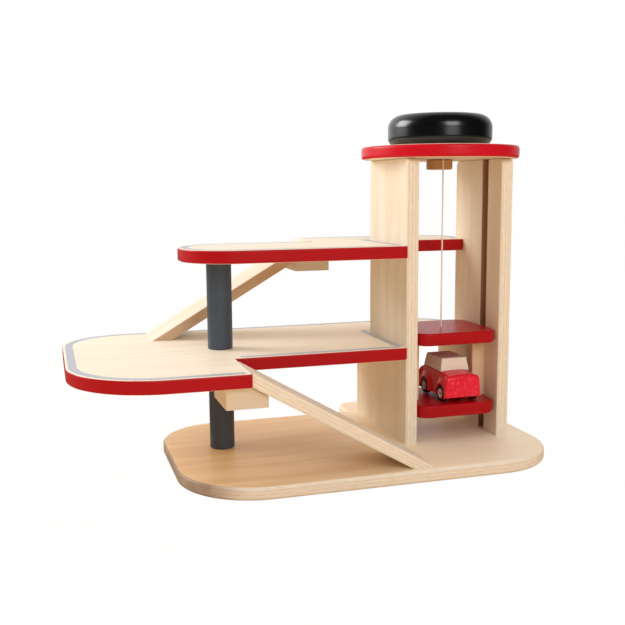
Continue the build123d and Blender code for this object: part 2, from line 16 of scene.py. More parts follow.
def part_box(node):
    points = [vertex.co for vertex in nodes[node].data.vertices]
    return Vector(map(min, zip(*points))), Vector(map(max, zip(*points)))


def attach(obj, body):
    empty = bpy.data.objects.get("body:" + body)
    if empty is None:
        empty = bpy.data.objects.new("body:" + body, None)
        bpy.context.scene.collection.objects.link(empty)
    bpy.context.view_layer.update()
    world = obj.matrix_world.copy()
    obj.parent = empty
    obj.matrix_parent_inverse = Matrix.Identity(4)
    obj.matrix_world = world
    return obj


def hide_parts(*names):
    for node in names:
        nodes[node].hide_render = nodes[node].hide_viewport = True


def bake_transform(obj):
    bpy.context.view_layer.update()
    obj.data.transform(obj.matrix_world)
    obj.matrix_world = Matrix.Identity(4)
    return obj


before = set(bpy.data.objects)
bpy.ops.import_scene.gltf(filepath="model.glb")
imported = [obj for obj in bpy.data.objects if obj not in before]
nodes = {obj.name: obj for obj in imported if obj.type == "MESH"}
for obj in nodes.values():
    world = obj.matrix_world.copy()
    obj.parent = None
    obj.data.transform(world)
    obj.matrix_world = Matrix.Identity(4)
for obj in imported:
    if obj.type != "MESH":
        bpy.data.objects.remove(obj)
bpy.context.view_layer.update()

MM = 0.001

# %% [markdown]
# ## Camera
# The camera was worked out from the toy's straight edges. It stands a little lower than
# the roof, to the left of the toy, and looks down by 8 degrees. So the two decks are
# seen at a grazing angle from above, and the roof from just below.

# %% Camera
CAMERA_PLACE = Vector((-0.23168, -0.80214, 0.25383))
CAMERA_YAW = math.radians(16.903)      # to the right of straight ahead
CAMERA_PITCH = math.radians(7.989)     # downwards
CAMERA_ROLL = math.radians(-0.411)
LENS_MM = 50.51
SENSOR_MM = 36.0
NEAREST_SEEN = 10 * MM
TOY_MIDDLE = Vector((0, 0, 150)) * MM


def add_object(name, data):
    """A new object in the scene that holds a camera, a mesh, a curve or a lamp."""
    thing = bpy.data.objects.new(name, data)
    bpy.context.scene.collection.objects.link(thing)
    return thing


def add_camera():
    """The photograph's camera, with its frame built from a yaw, a pitch and a roll."""
    camera = add_object("camera", bpy.data.cameras.new("camera"))
    camera.data.lens = LENS_MM
    camera.data.sensor_width = SENSOR_MM
    camera.data.clip_start = NEAREST_SEEN
    forward = Vector((math.sin(CAMERA_YAW) * math.cos(CAMERA_PITCH),
                      math.cos(CAMERA_YAW) * math.cos(CAMERA_PITCH), -math.sin(CAMERA_PITCH)))
    level = Vector((math.cos(CAMERA_YAW), -math.sin(CAMERA_YAW), 0))
    upright = level.cross(forward)
    right = level * math.cos(CAMERA_ROLL) + upright * math.sin(CAMERA_ROLL)
    up = upright * math.cos(CAMERA_ROLL) - level * math.sin(CAMERA_ROLL)
    turn = Matrix((right, up, -forward)).transposed().to_4x4()
    camera.matrix_world = Matrix.Translation(CAMERA_PLACE) @ turn
    bpy.context.scene.camera = camera


add_camera()
print("camera", round((CAMERA_PLACE - TOY_MIDDLE).length, 3), "m from the toy")

# %% [markdown]
# ## Shader arithmetic
# Wood and paint are patterns worked out from a point's place on the toy. A class that
# wraps a socket lets such a pattern be written as a sum, and adds a Math node for each sign
# in it. A second class holds the material that is being made, and adds any other node.

# %% Sockets that can be added and multiplied
class Wire:
    """A value that runs through a material. Arithmetic on it adds Math nodes."""

    def __init__(self, finish, socket):
        self.finish = finish
        self.socket = socket

    def math(self, operation, *values):
        return self.finish.node("ShaderNodeMath", {"operation": operation}, values)

    def __add__(self, other):
        return self.math("ADD", self, other)

    def __sub__(self, other):
        return self.math("SUBTRACT", self, other)

    def __rsub__(self, other):
        return self.math("SUBTRACT", other, self)

    def __mul__(self, other):
        return self.math("MULTIPLY", self, other)

    def __truediv__(self, other):
        return self.math("DIVIDE", self, other)

    def __abs__(self):
        return self.math("ABSOLUTE", self)

    def __mod__(self, other):
        return self.math("FLOORED_MODULO", self, other)

    __radd__ = __add__

    def sine(self):
        return self.math("SINE", self)

    def root(self):
        return self.math("SQRT", self)

    def step(self, low, high):
        """0 below low, 1 above high, and smooth between them."""
        return self.finish.node("ShaderNodeMapRange", {"interpolation_type": "SMOOTHSTEP"},
                                {0: self, 1: low, 2: high})


AXES = {"X": 0, "Y": 1, "Z": 2}
TOY_PLACE = 3                          # output of a Texture Coordinate node
MIX_A, MIX_B, MIXED = 6, 7, 2          # a Mix node's two colours, and what it makes of them


class Finish:
    """A material in the making: any node by its type, settings and inputs."""

    def __init__(self, name, **shader_values):
        self.material = bpy.data.materials.new(name)
        self.material.use_nodes = True
        self.tree = self.material.node_tree
        self.shader = self.tree.nodes["Principled BSDF"]
        self.set(**shader_values)

    def node(self, kind, settings=None, inputs=None, output=0):
        node = self.tree.nodes.new(kind)
        for name, value in (settings or {}).items():
            setattr(node, name, value)
        pairs = inputs.items() if isinstance(inputs, dict) else enumerate(inputs or ())
        for key, value in pairs:
            self.feed(node.inputs[key], value)
        return Wire(self, node.outputs[output])

    def feed(self, socket, value):
        if isinstance(value, Wire):
            self.tree.links.new(value.socket, socket)
        else:
            socket.default_value = value

    def set(self, **inputs):
        """Feed the shader's own sockets, named with _ for each space."""
        for name, value in inputs.items():
            self.feed(self.shader.inputs[name.replace("_", " ")], value)
        return self.material

    def place(self, first="X"):
        """The point's own place on the toy in metres, with one axis before the others."""
        where = self.node("ShaderNodeTexCoord", output=TOY_PLACE)
        split = self.node("ShaderNodeSeparateXYZ", inputs=[where]).socket.node.outputs
        order = sorted(range(3), key=lambda axis: axis != AXES[first])
        return [Wire(self, split[axis]) for axis in order]

    def vector(self, x, y, z):
        return self.node("ShaderNodeCombineXYZ", inputs=[x, y, z])

    def noise(self, where, detail=2.0, roughness=0.5, distortion=0.0):
        """Cloudy noise whose spots are about one unit of the given place wide."""
        return self.node("ShaderNodeTexNoise", {"noise_dimensions": "3D"},
                         {"Vector": where, "Scale": 1.0, "Detail": detail,
                          "Roughness": roughness, "Distortion": distortion})

    def grain(self, place, spots, seed=0.0, **texture):
        """Noise with so many spots in a metre along the grain, and across it."""
        along, across, depth = place
        return self.noise(self.vector(along * spots[0], across * spots[1] + seed,
                                      depth * spots[1]), **texture)

    def mix(self, mask, colour_a, colour_b):
        """Colour a where the mask is 0, and colour b where it is 1."""
        return self.node("ShaderNodeMix", {"data_type": "RGBA"},
                         {0: mask, MIX_A: colour_a, MIX_B: colour_b}, output=MIXED)

    def bump(self, height, distance):
        return self.node("ShaderNodeBump", inputs={"Height": height, "Distance": distance,
                                                   "Strength": 1.0})


def fade(mask, low, high):
    """The value low where a mask is 0, and high where it is 1."""
    return low + mask * (high - low)


def srgb(red, green, blue):
    """A colour as it is read off a picture, 0 to 255, in the linear values Blender uses."""
    def linear(level):
        level /= 255
        return level / 12.92 if level <= 0.04045 else ((level + 0.055) / 1.055) ** 2.4
    return (linear(red), linear(green), linear(blue), 1.0)


print("shader arithmetic ready")

# %% [markdown]
# ## Birch veneer
# Birch plywood is peeled from a turning log, so its face has long, faint, wandering
# streaks and hardly any dark lines. Three noises make that: a broad figure stretched
# far along the grain, narrower streaks, and pores finer than half a millimetre. Each noise is
# read at a place squeezed across the grain, which is what draws it out into streaks.

# %% Wood grain as a function of place
# The three tones of a veneer: light, mid and dark.
BIRCH = (srgb(237, 225, 206), srgb(230, 215, 192), srgb(211, 183, 149))
# Painted light and shade: the decks' birch is painted lighter for the light on their tops, and the
# base's darker and warmer for the shade of the decks over it.
LIT_DECK_BIRCH = (srgb(241, 230, 213), srgb(236, 223, 203), srgb(222, 201, 173))
SHADED_BASE_BIRCH = (srgb(238, 211, 170), srgb(227, 192, 146), srgb(202, 158, 108))
PORE = srgb(186, 150, 112)
SWAY = 9                       # spots in a metre, both ways
SWAY_REACH = 16 * MM           # how far the streaks wander
FIGURE = (5, 55)               # spots in a metre, along the grain and across it
STREAKS = (14, 330)
PORES = (110, 2300)
FIGURE_MASK = (0.32, 0.68)     # where in its noise a pattern starts, and is full
STREAK_MASK, STREAK_SHARE = (0.52, 0.82), 0.35
PORE_MASK, PORE_SHARE = (0.62, 0.80), 0.16


def wood_streaks(finish, along, across, depth, seed):
    """(broad figure, narrow streaks, fine pores), each from 0 to 1."""
    sway = finish.noise(finish.vector(along * SWAY + seed, across * SWAY, depth * SWAY),
                        detail=1.0)
    wandering = across + (sway - 0.5) * SWAY_REACH
    figure = finish.noise(finish.vector(along * FIGURE[0] + seed, wandering * FIGURE[1],
                                        depth * FIGURE[1]), detail=2.0, distortion=0.6)
    streaks = finish.grain((along, wandering, depth), STREAKS, seed, detail=3.0, roughness=0.6)
    pores = finish.grain((along, across, depth), PORES, seed, detail=1.0)
    return figure, streaks, pores


def veneer_colour(finish, figure, streaks, pores, tones=BIRCH):
    """The colour of clear-lacquered birch from its streaks."""
    base = finish.mix(figure.step(*FIGURE_MASK), *tones[:2])
    base = finish.mix(streaks.step(*STREAK_MASK) * STREAK_SHARE, base, tones[2])
    return finish.mix(pores.step(*PORE_MASK) * PORE_SHARE, base, PORE)


print("birch colours", [[round(value, 3) for value in tone[:3]] for tone in BIRCH])

# %% [markdown]
# ## Plywood
# A board of this toy is 12 mm thick, in seven plies. On its faces the veneer shows, and on
# its edges the plies: every other one is cut across its grain and looks darker, and
# a thin brown glue line lies between two plies. One material draws both. A point within half
# a millimetre of the board's outer skin is on a face, and any other is on an edge, where its
# depth counts the plies. Decks and roof have the same body, but their edges are painted red.
# The base's veneer gets painted light that makes it paler towards its right end, and its edge gets
# painted shade at its left end.

# %% Plywood with bare or painted edges
def middle_of(node):
    """The middle of a finished piece's box."""
    low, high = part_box(node)
    return (low + high) / 2


PLIES = 7
SKIN = 0.5 * MM
DECK_RED = (srgb(180, 8, 22), srgb(162, 6, 18))
# Painted light: the roof's red is the decks' paint, painted brighter for the light on it.
LIT_ROOF_RED = (srgb(206, 14, 36), srgb(188, 10, 28))
RED_STREAKS = (30, 900)        # spots in a metre, along a painted edge and up it
RED_MASK, RED_SHARE = (0.45, 0.75), 0.5
PLY_LIGHT, PLY_DARK = srgb(244, 235, 220), srgb(229, 212, 189)
PLY_MASK = (0.50, 0.72)        # in plies, from the middle of a cross ply
PLY_FIBRES = (120, 1.2)        # spots in a metre along the edge, and in one ply
GLUE_BROWN, GLUE_SHARE = srgb(176, 140, 108), 0.6
GLUE_LINE = (0.03, 0.13)       # in plies, from the middle of a glue line
GLUE_GAPS = (0.35, 0.60)       # in the fibres' noise, where the glue shows
LIT_VENEER, LIT_SHARE = srgb(255, 246, 226), 0.7
EDGE_SHADE_BROWN = srgb(132, 106, 88)
RED_ROUGHNESS, DECK_ROUGHNESS = 0.32, 0.47
EDGE_ROUGHNESS, FACE_ROUGHNESS = 0.55, 0.45
VENEER_RELIEF, PAINT_RELIEF, PLY_RELIEF = 0.25, 0.4, 0.12
RELIEF_HEIGHT = 0.12 * MM
GROOVE_Y = middle_of("left_guide_post").y
# Painted shade: the inside of each upright's groove is darkened with brown.
GROOVE_SHADE_BROWN, GROOVE_SHADE_SHARE = srgb(150, 84, 44), 0.8
GROOVE_MOUTH = (0.3 * MM, 1.2 * MM)    # depths between which the painted shade begins
GROOVE_FLOOR = (7.0 * MM, 8.0 * MM)    # and ends, below the groove's floor
GROOVE_SIDES = (6.6 * MM, 6.8 * MM)    # and from the groove's middle, past its sides


def outer_skin(depth, thickness):
    """1 in the outer half millimetre of a board, on either side, and 0 within it."""
    return abs(depth - thickness / 2).step(thickness / 2 - SKIN, thickness / 2 - SKIN / 2)


def ply_edge_colour(finish, layer, along_edge, seed):
    """Light and dark plies by turns, with a glue line between them."""
    fibres = finish.noise(finish.vector(along_edge * PLY_FIBRES[0] + seed,
                                        layer * PLY_FIBRES[1], 0.0), detail=3.0)
    cross_ply = 1 - abs((layer % 2.0) - 1.0).step(*PLY_MASK)
    colour = finish.mix(cross_ply * fade(fibres, 0.25, 0.7), PLY_LIGHT, PLY_DARK)
    glue = 1 - abs(((layer + 0.5) % 1.0) - 0.5).step(*GLUE_LINE)
    glue = glue * fibres.step(*GLUE_GAPS) * GLUE_SHARE
    return finish.mix(glue, colour, GLUE_BROWN)


def plywood_board(node, thickness_axis, grain_axis, seed, tones=BIRCH, red_edges=None,
                  grooved=0, lit_end=None, shaded_end=None):
    """Dress a board whose faces look along one axis of the toy.

    Grooved is 1 or -1 for a groove in the high or the low face. The lit and shaded ends are
    each the two places along the grain between which painted light pales the veneer, or the
    painted shade on the edge stops.
    """
    t, g = AXES[thickness_axis], AXES[grain_axis]
    low, high = [corner[t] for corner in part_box(node)]
    finish = Finish(f"{node}_plywood", Specular_IOR_Level=0.25 if red_edges else 0.5)
    place = finish.place()
    across = place[3 - t - g]
    figure, streaks, pores = wood_streaks(finish, place[g], across, place[t], seed)
    face = veneer_colour(finish, figure, streaks, pores, tones)
    # Painted light: the veneer pales towards one end.
    if lit_end:
        lit_face = finish.mix(LIT_SHARE, face, LIT_VENEER)
        face = finish.mix(place[g].step(*lit_end), face, lit_face)
    on_face = outer_skin(place[t] - low, high - low)
    if red_edges:
        along, up = RED_STREAKS
        streak = finish.noise(finish.vector(place[0] * along, place[1] * along, place[2] * up),
                              detail=2.0)
        edge = finish.mix(streak.step(*RED_MASK) * RED_SHARE, *red_edges)
        relief = fade(on_face, streak * PAINT_RELIEF, streaks * VENEER_RELIEF)
        roughness = fade(on_face, RED_ROUGHNESS, DECK_ROUGHNESS)
    else:
        layer = (place[t] - low) * (PLIES / (high - low))
        edge = ply_edge_colour(finish, layer, place[g] + across, seed)
        # Painted shade: the edge darkens towards one end.
        if shaded_end:
            edge_shade = (1 - place[g].step(*shaded_end)) * fade(figure, 0.55, 0.95)
            edge = finish.mix(edge_shade, edge, EDGE_SHADE_BROWN)
        relief = fade(on_face, (layer * math.pi).sine() * PLY_RELIEF, streaks * VENEER_RELIEF)
        roughness = fade(on_face, EDGE_ROUGHNESS, FACE_ROUGHNESS)
    colour = finish.mix(on_face, edge, face)
    # Painted shade inside the upright's groove.
    if grooved:
        colour = paint_groove_shade(finish, colour, place, high if grooved > 0 else low, grooved)
    dress(finish.set(Base_Color=colour, Roughness=roughness,
                     Normal=finish.bump(relief, RELIEF_HEIGHT)), node)


def paint_groove_shade(finish, colour, place, inner_face, side):
    """Painted shade in the groove of an upright, below its inner face."""
    depth = (inner_face - place[0]) * side
    below = depth.step(*GROOVE_MOUTH) * (1 - depth.step(*GROOVE_FLOOR))
    between = 1 - abs(place[1] - GROOVE_Y).step(*GROOVE_SIDES)
    return finish.mix(below * between * GROOVE_SHADE_SHARE, colour, GROOVE_SHADE_BROWN)


def dress(material, *names):
    """Put a finish on some of the finished pieces."""
    for name in names:
        nodes[name].data.materials.clear()
        nodes[name].data.materials.append(material)


# The base gets painted light at its right end and painted shade on its left edge.
plywood_board("base_board", "Z", "X", 1.7, SHADED_BASE_BIRCH, lit_end=(0.01, 0.12),
              shaded_end=(-0.115, -0.080))
plywood_board("left_upright", "X", "Z", 4.1, grooved=1)
plywood_board("right_upright", "X", "Z", 7.9, grooved=-1)
# The decks' tones hold painted light.
plywood_board("mid_deck", "Z", "X", 2.9, LIT_DECK_BIRCH, DECK_RED)
plywood_board("upper_deck", "Z", "X", 5.3, LIT_DECK_BIRCH, DECK_RED)
# The roof's red edge holds painted light.
plywood_board("roof_disc", "Z", "X", 6.1, red_edges=LIT_ROOF_RED)
print("boards dressed")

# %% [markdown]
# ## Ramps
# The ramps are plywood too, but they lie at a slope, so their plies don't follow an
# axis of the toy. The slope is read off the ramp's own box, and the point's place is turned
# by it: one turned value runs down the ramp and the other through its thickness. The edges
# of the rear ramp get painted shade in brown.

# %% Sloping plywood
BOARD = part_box("mid_deck")[1].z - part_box("mid_deck")[0].z
# Painted shade for the ramp's edges.
RAMP_SHADE_BROWN = srgb(190, 140, 84)


def sloping_plywood(node, falls_towards, seed, shade_share):
    """Plywood for a ramp that falls towards +X (1) or -X (-1), with a share of painted shade on its
    edges.
    """
    low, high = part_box(node)
    rise, run = high.z - low.z, high.x - low.x
    slope = math.atan2(rise, run)
    cos, sin = math.cos(slope), math.sin(slope)
    thickness = BOARD * cos
    top_x = low.x if falls_towards > 0 else high.x
    finish = Finish(f"{node}_plywood", Specular_IOR_Level=0.5)
    x, y, z = finish.place()
    level = (x - top_x) * falls_towards
    down = level * cos - (z - high.z) * sin
    depth = level * sin + (z - high.z) * cos + thickness
    on_face = outer_skin(depth, thickness)
    figure, streaks, pores = wood_streaks(finish, down, y, depth, seed)
    face = veneer_colour(finish, figure, streaks, pores)
    layer = depth * (PLIES / thickness)
    edge = ply_edge_colour(finish, layer, down + y, seed)
    # Painted shade on the ramp's edges.
    edge = finish.mix(fade(figure, 0.6, 1.0) * shade_share, edge, RAMP_SHADE_BROWN)
    relief = streaks * VENEER_RELIEF * on_face
    dress(finish.set(Base_Color=finish.mix(on_face, edge, face),
                     Roughness=fade(on_face, EDGE_ROUGHNESS, FACE_ROUGHNESS),
                     Normal=finish.bump(relief, RELIEF_HEIGHT)), node)
    print(node, "slopes", round(math.degrees(slope), 1), "degrees")


sloping_plywood("front_ramp", falls_towards=1, seed=3.3, shade_share=0.0)
sloping_plywood("rear_ramp", falls_towards=-1, seed=8.7, shade_share=0.8)

# %% [markdown]
# ## Solid wood
# The blocks under the decks, the hub, the lift's posts, the dowels and the car's cabin are
# cut from solid wood. Its sides show growth rings as long streaks, and its ends show
# them as arcs. Rings round a line that runs along the grain, at some distance from the
# piece, give both at once, as they do in a real plank.

# %% Solid wood, cut from a log
LOG_PLACE = (90 * MM, 50 * MM)         # from the toy's origin to the log's middle
LOG_SHIFT = 10 * MM                    # how much farther it is for each unit of the seed
RING_WIDTH = 2.2 * MM
RING_SWAY = 9 * MM
RING_SPOTS = (12, 25)                  # in a metre, along the grain and across it
LATE_WOOD = (0.35, 0.9)                # share of a ring at which it darkens
RING_END = (0.93, 1.0)                 # and gets light again
SAWN_PORES, SAWN_PORE_MASK = (70, 1700), (0.58, 0.78)


def solid_wood(name, grain_axis, light, dark, seed, contrast=0.28):
    """Wood whose growth rings lie round a line beside the piece, along the grain."""
    finish = Finish(name, Roughness=0.5, Coat_Weight=0.12, Coat_Roughness=0.4)
    place = finish.place(grain_axis)
    sway = finish.grain(place, RING_SPOTS, seed, detail=2.0)
    a = place[1] + (LOG_PLACE[0] + seed * LOG_SHIFT)
    b = place[2] + LOG_PLACE[1]
    radius = (a * a + b * b).root()
    rings = ((radius + sway * RING_SWAY) / RING_WIDTH) % 1.0
    late_wood = rings.step(*LATE_WOOD) * (1 - rings.step(*RING_END))
    pores = finish.grain(place, SAWN_PORES, seed, detail=1.0)
    colour = finish.mix(late_wood * contrast, light, dark)
    colour = finish.mix(pores.step(*SAWN_PORE_MASK) * contrast, colour, dark)
    return finish.set(Base_Color=colour, Normal=finish.bump(pores, 0.05 * MM))


block_wood = solid_wood("block_wood", "X", srgb(224, 208, 188), srgb(190, 164, 136), 0.4,
                        contrast=0.12)
post_wood = solid_wood("post_wood", "Z", srgb(240, 214, 180), srgb(208, 168, 126), 1.3)
hub_wood = solid_wood("hub_wood", "X", srgb(206, 158, 110), srgb(160, 108, 66), 2.2)
dowel_wood = solid_wood("dowel_wood", "Z", srgb(214, 178, 134), srgb(178, 136, 92), 3.1)
cabin_wood = solid_wood("cabin_wood", "Y", srgb(253, 243, 228), srgb(222, 190, 152), 4.6,
                        contrast=0.1)
dress(block_wood, "front_ramp_block", "rear_ramp_block")
dress(post_wood, "left_guide_post", "right_guide_post")
dress(dowel_wood, "knob_axle", "lift_dowels", "roof_dowels", "mid_deck_dowels",
      "upper_deck_dowels", "pillar_dowels")
dress(hub_wood, "axle_hub")
dress(cabin_wood, "car_cabin")
print("solid wood dressed")

# %% [markdown]
# ## Paint
# Three paints cover turned or routed wood. The lift's two boards are glossy red all over,
# the pillars a satin blue-grey, and the wheel a black lacquer thick enough to shine. The
# grain still shows faintly through each as a shallow relief, which breaks up its
# reflections. How rough each paint is sets how sharp its highlights are.

# %% Painted wood
PAINTED_GRAIN = (25, 500)      # spots in a metre, along the grain and across it
BRUSH_MARKS = (8, 90)
BRUSH_MASK = (0.35, 0.75)
GRAIN_IN_SHINE = 0.12


def painted_wood(name, colour, shade, grain_axis, roughness, shine, relief):
    """Paint over wood, with the grain as a shallow relief under it."""
    finish = Finish(name, Specular_IOR_Level=shine)
    place = finish.place(grain_axis)
    grain = finish.grain(place, PAINTED_GRAIN, detail=3.0, roughness=0.6)
    brushed = finish.grain(place, BRUSH_MARKS, detail=1.0)
    return finish.set(Base_Color=finish.mix(brushed.step(*BRUSH_MASK), colour, shade),
                      Roughness=roughness + (grain - 0.5) * GRAIN_IN_SHINE,
                      Normal=finish.bump(grain, relief))


lift_red = painted_wood("lift_red", srgb(178, 6, 20), srgb(166, 5, 17), "X", roughness=0.34,
                        shine=0.25, relief=0.04 * MM)
pillar_grey = painted_wood("pillar_grey", srgb(74, 84, 99), srgb(64, 72, 85), "Z",
                           roughness=0.42, shine=0.3, relief=0.18 * MM)
wheel_black = painted_wood("wheel_black", srgb(6, 7, 10), srgb(4, 4, 6), "Y", roughness=0.24,
                           shine=0.8, relief=0.03 * MM)
dress(lift_red, "lift_ceiling", "lift_floor")
dress(pillar_grey, "lower_pillar", "upper_pillar")
dress(wheel_black, "wheel_knob")
print("paint on")

# %% [markdown]
# ## Metal, rubber and plastic
# Small parts finish the toy: zinc-plated screws in its underside, steel axles and soft
# black tyres on the car, pale hubs, and a plastic washer under the wheel.

# %% Steel, rubber and plastic
SPECK_SHADE = 0.8              # of the colour, in the speckle's darkest spots
SPECK_IN_SHINE = 0.2


def plain_finish(name, colour, roughness, speck_size, relief, metallic=0.0):
    """A plain surface with a fine speckle in its shine and relief."""
    finish = Finish(name, Metallic=metallic)
    spots = (1 / speck_size, 1 / speck_size)
    speck = finish.grain(finish.place(), spots, detail=2.0)
    darker = tuple(value * SPECK_SHADE for value in colour[:3]) + (1.0,)
    return finish.set(Base_Color=finish.mix(speck, colour, darker),
                      Roughness=roughness + (speck - 0.5) * SPECK_IN_SHINE,
                      Normal=finish.bump(speck, relief))


steel = plain_finish("zinc_steel", srgb(190, 190, 186), 0.32, 1.5 * MM, 0.02 * MM, metallic=1.0)
rubber = plain_finish("tyre_rubber", srgb(30, 29, 30), 0.6, 0.5 * MM, 0.05 * MM)
hub_plastic = plain_finish("hub_plastic", srgb(236, 234, 230), 0.35, 2.0 * MM, 0.01 * MM)
washer_plastic = plain_finish("washer_plastic", srgb(225, 225, 220), 0.4, 2.0 * MM, 0.01 * MM)
dress(steel, "base_screws", "front_axle", "rear_axle")
dress(washer_plastic, "knob_washer")
print("small parts dressed")

# %% [markdown]
# ## Printed road lines
# A grey line is printed on each deck, about 2 mm in from its edge, and follows it
# round like the kerb of a road. It stops at the mouth of each ramp and at the lift's
# doorway. The line is a ribbon a tenth of a millimetre thick along a path of straight runs
# and arcs, whose corners come from the boxes of the decks, ramps and uprights.

# %% Paths with rounded corners
LINE_WIDTH = 7.0 * MM
LINE_INSET = 6.0 * MM          # from a deck's edge to the middle of its line
LINE_HEIGHT = 0.05 * MM        # above the deck
MID_FRONT_RADIUS = 76.0 * MM
MID_BACK_RADIUS = 60.0 * MM
UPPER_RADIUS = 45.0 * MM
OUTER_RADIUS = 30.0 * MM
TURN_RADIUS = 4.0 * MM         # of the line's middle, where the edge turns sharply
ARC_STEP = math.radians(6)


def rounded_path(corners):
    """Points along (x, y, radius) corners, with an arc at each but the first and last."""
    points = [Vector(corners[0][:2])]
    for before, corner, after in zip(corners, corners[1:], corners[2:]):
        here = Vector(corner[:2])
        back = (Vector(before[:2]) - here).normalized()
        ahead = (Vector(after[:2]) - here).normalized()
        half = back.angle(ahead) / 2
        centre = here + (back + ahead).normalized() * (corner[2] / math.sin(half))
        start = here + back * (corner[2] / math.tan(half)) - centre
        turn = math.pi - 2 * half
        turn *= 1 if back.x * ahead.y - back.y * ahead.x < 0 else -1
        steps = max(2, round(abs(turn) / ARC_STEP))
        for i in range(steps + 1):
            points.append(centre + Matrix.Rotation(turn * i / steps, 2) @ start)
    return points + [Vector(corners[-1][:2])]


def add_mesh(name, body, material, build):
    """A new object whose mesh a function fills in. It rides on a body if one is named."""
    mesh = bpy.data.meshes.new(name)
    work = bmesh.new()
    build(work)
    bmesh.ops.recalc_face_normals(work, faces=work.faces)
    work.to_mesh(mesh)
    work.free()
    piece = add_object(name, mesh)
    if material:
        mesh.materials.append(material)
    if body:
        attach(piece, body)
    return piece


def close_skin(work, rings):
    """Faces between neighbouring rings of points, and one across each end."""
    count = len(rings[0])
    for ring, following in zip(rings, rings[1:]):
        for k in range(count):
            work.faces.new((ring[k], ring[(k + 1) % count], following[(k + 1) % count],
                            following[k]))
    work.faces.new(rings[0][::-1])
    work.faces.new(rings[-1])


def ribbon(work, path, width, bottom, top):
    """A flat closed strip along a path."""
    rings = []
    for i, point in enumerate(path):
        before = (point - path[i - 1]).normalized() if i else (path[1] - point).normalized()
        after = (path[i + 1] - point).normalized() if i + 1 < len(path) else before
        heading = (before + after).normalized()
        side = Vector((-heading.y, heading.x)) * (width / 2 / heading.dot(before))
        corners = [(point + side, bottom), (point - side, bottom), (point - side, top),
                   (point + side, top)]
        rings.append([work.verts.new((place.x, place.y, z)) for place, z in corners])
    close_skin(work, rings)


# %% The grey lines on both decks
mid_low, mid_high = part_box("mid_deck")
upper_low, upper_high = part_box("upper_deck")
left_low, left_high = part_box("left_upright")
right_low, right_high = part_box("right_upright")
front_ramp_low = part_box("front_ramp")[0]
rear_ramp_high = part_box("rear_ramp")[1]

DECK_OVERHANG = 4.2 * MM       # the decks' front edge, in front of the uprights
LANE = 69.0 * MM               # width of the lanes that lead onto the ramps
UPRIGHT_DEPTH = 96.75 * MM     # of the uprights above the mid deck
DOOR_REACH = 3.0 * MM          # how far a line runs on past the edge of the lift's doorway
OUTER_GAP = 5.0 * MM           # from a ramp's top edge to the end of an outer line
TOWER_GAP = 6.0 * MM           # and to the end of a line that comes from the tower
# Places of the lines' middles. The decks end level with the right upright.
front_y = left_low.y - DECK_OVERHANG + LINE_INSET
tower_y = left_low.y + UPRIGHT_DEPTH + LINE_INSET
tower_x = left_low.x - LINE_INSET
lane_y = upper_high.y - LANE - LINE_INSET
right_x = right_high.x - LINE_INSET

outer_end = [(right_x, tower_y, TURN_RADIUS), (right_low.x - DOOR_REACH, tower_y, 0)]
round_tower = [(left_high.x + DOOR_REACH, tower_y, 0), (tower_x, tower_y, TURN_RADIUS),
               (tower_x, front_y, TURN_RADIUS)]
line_paths = {
    "mid_deck_outer_line": (mid_high.z, [
        (front_ramp_low.x - OUTER_GAP, mid_low.y + LINE_INSET, 0),
        (mid_low.x + LINE_INSET, mid_low.y + LINE_INSET, MID_FRONT_RADIUS - LINE_INSET),
        (mid_low.x + LINE_INSET, mid_high.y - LINE_INSET, MID_BACK_RADIUS - LINE_INSET),
        (right_x, mid_high.y - LINE_INSET, OUTER_RADIUS - LINE_INSET), *outer_end]),
    "mid_deck_tower_line": (mid_high.z, [
        *round_tower, (front_ramp_low.x + TOWER_GAP, front_y, 0)]),
    "upper_deck_outer_line": (upper_high.z, [
        (rear_ramp_high.x + OUTER_GAP, upper_high.y - LINE_INSET, 0),
        (right_x, upper_high.y - LINE_INSET, OUTER_RADIUS - LINE_INSET), *outer_end]),
    "upper_deck_tower_line": (upper_high.z, [
        *round_tower, (upper_low.x + LINE_INSET, front_y, UPPER_RADIUS - LINE_INSET),
        (upper_low.x + LINE_INSET, lane_y, UPPER_RADIUS - LINE_INSET),
        (rear_ramp_high.x - TOWER_GAP, lane_y, 0)]),
}
line_grey = plain_finish("printed_grey", srgb(178, 183, 196), 0.4, 3.0 * MM, 0.01 * MM)
for name, (deck_top, corners) in line_paths.items():
    path = rounded_path(corners)
    add_mesh(name, "base", line_grey,
             lambda work, path=path, z=deck_top: ribbon(work, path, LINE_WIDTH,
                                                        z - LINE_HEIGHT, z + LINE_HEIGHT))
    print(name, len(path), "points")

# %% [markdown]
# ## Turned parts
# The wheels of the car and their hubs are turned on a lathe, so each is one half outline
# spun round its axle. The tyres are round-shouldered with a shallow groove in each
# wall, and the hubs are dished around a raised cap.

# %% A lathe
NEARLY_ZERO = 1e-6 * MM


def circle(work, centre, side, other, radius, count):
    """New points evenly round a circle, from one of its two directions to the other."""
    angles = [math.tau * i / count for i in range(count)]
    return [work.verts.new(centre + (side * math.cos(a) + other * math.sin(a)) * radius)
            for a in angles]


def spin(work, outline, centre, along, steps=64):
    """Spin (distance along, radius) pairs round an axis through a point."""
    along = Vector(along)
    side = along.orthogonal().normalized()
    other = along.cross(side)
    rings = []
    for distance, radius in outline:
        middle = centre + along * distance
        if radius < NEARLY_ZERO:
            rings.append([work.verts.new(middle)])
        else:
            rings.append(circle(work, middle, side, other, radius, steps))
    if len(rings[0]) > 1 and outline[0] != outline[-1]:
        rings.append(rings[0])
    for ring, following in zip(rings, rings[1:]):
        for i in range(steps):
            j = (i + 1) % steps
            corners = [ring[i % len(ring)], ring[j % len(ring)],
                       following[j % len(following)], following[i % len(following)]]
            corners = list(dict.fromkeys(corners))
            if len(corners) > 2:
                work.faces.new(corners)


